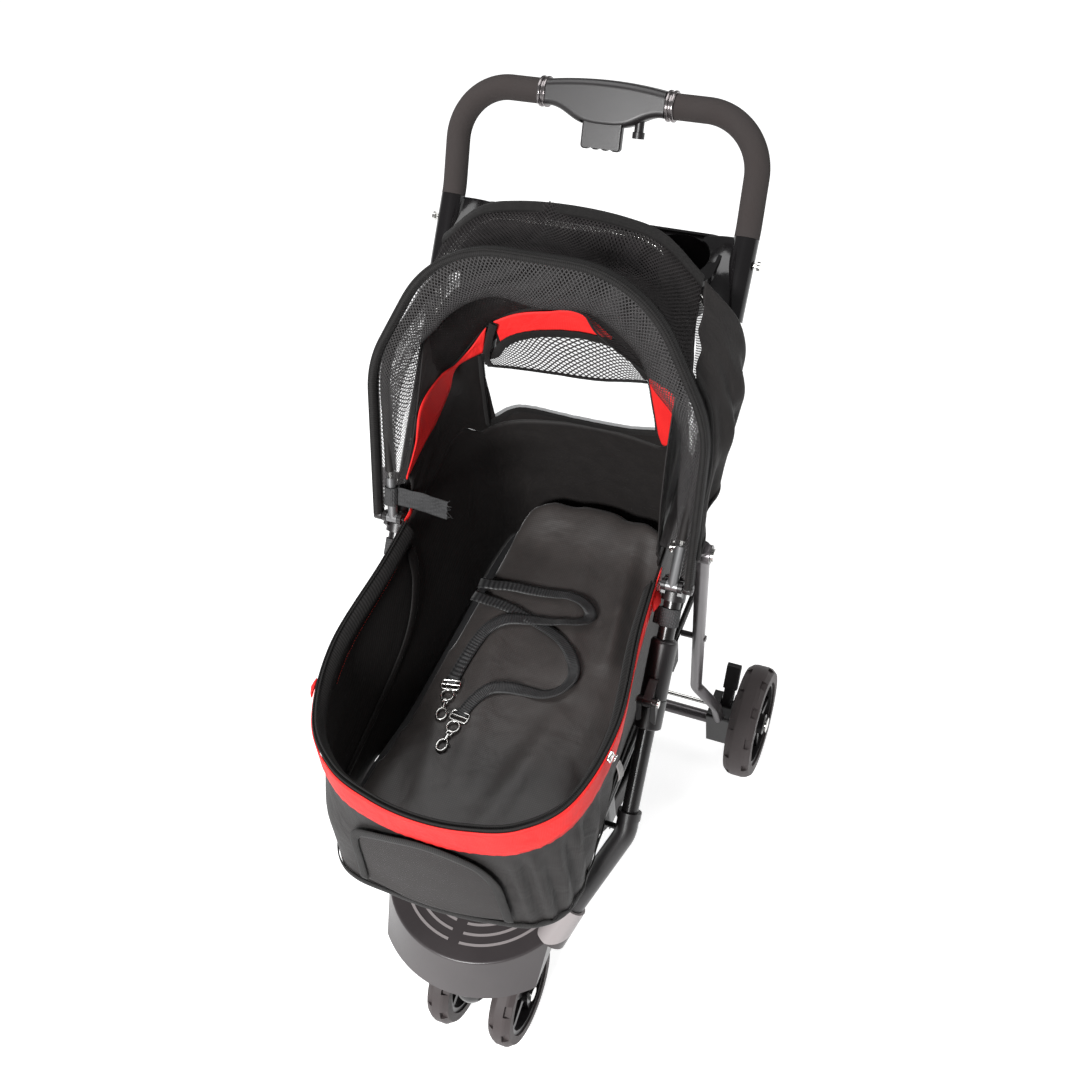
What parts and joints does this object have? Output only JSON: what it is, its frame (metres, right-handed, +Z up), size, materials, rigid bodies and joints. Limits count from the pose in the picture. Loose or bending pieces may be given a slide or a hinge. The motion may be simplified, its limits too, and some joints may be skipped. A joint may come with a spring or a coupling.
{
  "type": "pet stroller",
  "caption": "Folding pet stroller: open cloth cabin with a netted canopy, push handle with cup tray, swivelling front caster and braked rear wheels.",
  "frame": {"origin": "centre of the bounding box in plan, on the floor", "axes": "+X to the right seen from the front, +Y to the rear where the push handle is, +Z up"},
  "size_m": [0.474, 0.7112, 1.0057],
  "materials": {
    "black_tube": "satin black powder coat",
    "grey_tube": "satin grey powder coat",
    "bright_steel": "plain steel",
    "satin_plastic": "satin black",
    "gloss_plastic": "gloss black",
    "grip_foam": "matte dark grey foam",
    "tyre_rubber": "matte dark grey",
    "cabin_cloth": "black woven cloth with red panels",
    "netting": "black open netting",
    "zipper_tape": "black zipper tape and velcro",
    "webbing": "black webbing with a sheen",
    "window_film": "clear film",
    "floor_panel": "plain board"
  },
  "bodies": {
    "front_frame": {"lower_tubes": "black_tube", "fold_blocks": "satin_plastic", "fold_pins": "bright_steel", "corner_fittings": "satin_plastic", "front_platform": "gloss_plastic", "floor_frame": "bright_steel", "floor_board": "floor_panel", "cabin_shell": "cabin_cloth", "rim_zipper": "zipper_tape", "zipper_pull": "zipper_tape", "front_pocket": "cabin_cloth", "floor_pad": "cabin_cloth", "leash_strap_a": "webbing", "leash_strap_b": "webbing", "leash_hooks": "bright_steel", "basket": "cabin_cloth"},
    "push_bar": {"push_tube": "black_tube", "hinge_cores": "satin_plastic", "foam_grip_right": "grip_foam", "foam_grip_left": "grip_foam", "grip_collars": "gloss_plastic", "handle_housing": "satin_plastic", "tray": "gloss_plastic", "tray_screws": "bright_steel", "canopy_clamps": "satin_plastic", "leg_pivot_bolts": "bright_steel", "rear_bow": "bright_steel", "canopy_roof": "netting", "canopy_side_right": "cabin_cloth", "canopy_side_left": "cabin_cloth", "canopy_rear": "cabin_cloth", "rear_window": "window_film", "velcro_tabs": "zipper_tape"},
    "lock_sleeves": {"lock_sleeve_right": "satin_plastic", "lock_sleeve_left": "satin_plastic"},
    "fold_trigger": {"fold_trigger": "satin_plastic"},
    "lock_button": {"lock_button": "satin_plastic"},
    "canopy_bow": {"canopy_bow": "bright_steel", "velcro_strap": "zipper_tape", "bow_sockets": "bright_steel", "cover_mesh": "netting"},
    "cover_edge": {"cover_edge": "zipper_tape"},
    "rear_frame": {"rear_leg_right": "grey_tube", "rear_leg_left": "grey_tube", "rear_cross_tube": "grey_tube", "wheel_brackets": "satin_plastic", "rear_axles": "bright_steel"},
    "brake": {"brake_pedals": "satin_plastic", "brake_rod": "bright_steel"},
    "rear_wheel_right": {"rear_tyre_right": "tyre_rubber", "rear_rim_right": "satin_plastic"},
    "rear_wheel_left": {"rear_tyre_left": "tyre_rubber", "rear_rim_left": "satin_plastic"},
    "caster": {"caster_fork": "satin_plastic", "front_axle": "bright_steel"},
    "front_wheel_right": {"front_tyre_right": "tyre_rubber", "front_rim_right": "satin_plastic"},
    "front_wheel_left": {"front_tyre_left": "tyre_rubber", "front_rim_left": "satin_plastic"}
  },
  "joints": [
    {"name": "frame_fold", "type": "hinge", "parent": "front_frame", "child": "push_bar", "pos_m": [0, -0.08128, 0.52621], "axis": [1, 0, 0], "range_deg": [0, 145], "deforming": ["cabin_shell", "rim_zipper", "zipper_pull", "front_pocket", "floor_pad", "leash_strap_a", "leash_strap_b", "leash_hooks", "basket", "canopy_roof", "canopy_side_right", "canopy_side_left", "canopy_rear", "rear_window", "cover_mesh", "velcro_strap"]},
    {"name": "rear_leg_fold", "type": "hinge", "parent": "push_bar", "child": "rear_frame", "pos_m": [0, 0.05, 0.636], "axis": [1, 0, 0], "range_deg": [-37.3, 0]},
    {"name": "trigger_squeeze", "type": "hinge", "parent": "push_bar", "child": "fold_trigger", "pos_m": [0, 0.32238, 0.97146], "axis": [1, 0, 0], "range_deg": [0, 18]},
    {"name": "sleeve_slide", "type": "slide", "parent": "push_bar", "child": "lock_sleeves", "axis": [0, 0.6762, 0.7367], "range_m": [0, 0.012], "stiffness_N_per_m": 150},
    {"name": "button_press", "type": "slide", "parent": "push_bar", "child": "lock_button", "axis": [0, 0.4952, 0.8688], "range_m": [0, 0.004], "stiffness_N_per_m": 300},
    {"name": "canopy_tilt", "type": "hinge", "parent": "push_bar", "child": "canopy_bow", "pos_m": [0, 0.01069, 0.61826], "axis": [1, 0, 0], "range_deg": [0, 60], "deforming": ["canopy_roof", "canopy_side_right", "canopy_side_left", "canopy_rear", "rear_window"]},
    {"name": "cover_tilt", "type": "hinge", "parent": "canopy_bow", "child": "cover_edge", "pos_m": [0, 0.01069, 0.61826], "axis": [1, 0, 0], "range_deg": [0, 58], "deforming": ["cover_mesh"]},
    {"name": "brake_press", "type": "hinge", "parent": "rear_frame", "child": "brake", "pos_m": [0, 0.21, 0.099], "axis": [-1, 0, 0], "range_deg": [0, 25]},
    {"name": "rear_wheel_right_spin", "type": "hinge", "parent": "rear_frame", "child": "rear_wheel_right", "pos_m": [0.212, 0.21, 0.083], "axis": [1, 0, 0], "continuous": true},
    {"name": "rear_wheel_left_spin", "type": "hinge", "parent": "rear_frame", "child": "rear_wheel_left", "pos_m": [-0.212, 0.21, 0.083], "axis": [1, 0, 0], "continuous": true},
    {"name": "caster_swivel", "type": "hinge", "parent": "front_frame", "child": "caster", "pos_m": [0, -0.31, 0.2], "axis": [0, 0, 1], "continuous": true},
    {"name": "front_wheel_right_spin", "type": "hinge", "parent": "caster", "child": "front_wheel_right", "pos_m": [0.043, -0.2735, 0.072], "axis": [1, 0, 0], "continuous": true},
    {"name": "front_wheel_left_spin", "type": "hinge", "parent": "caster", "child": "front_wheel_left", "pos_m": [-0.043, -0.2735, 0.072], "axis": [1, 0, 0], "continuous": true}
  ],
  "couplings": [
    {"joint": "rear_leg_fold", "follows": "frame_fold", "ratio": -0.256},
    {"joint": "trigger_squeeze", "follows": "sleeve_slide", "rad_per_m": 26.17}
  ]
}
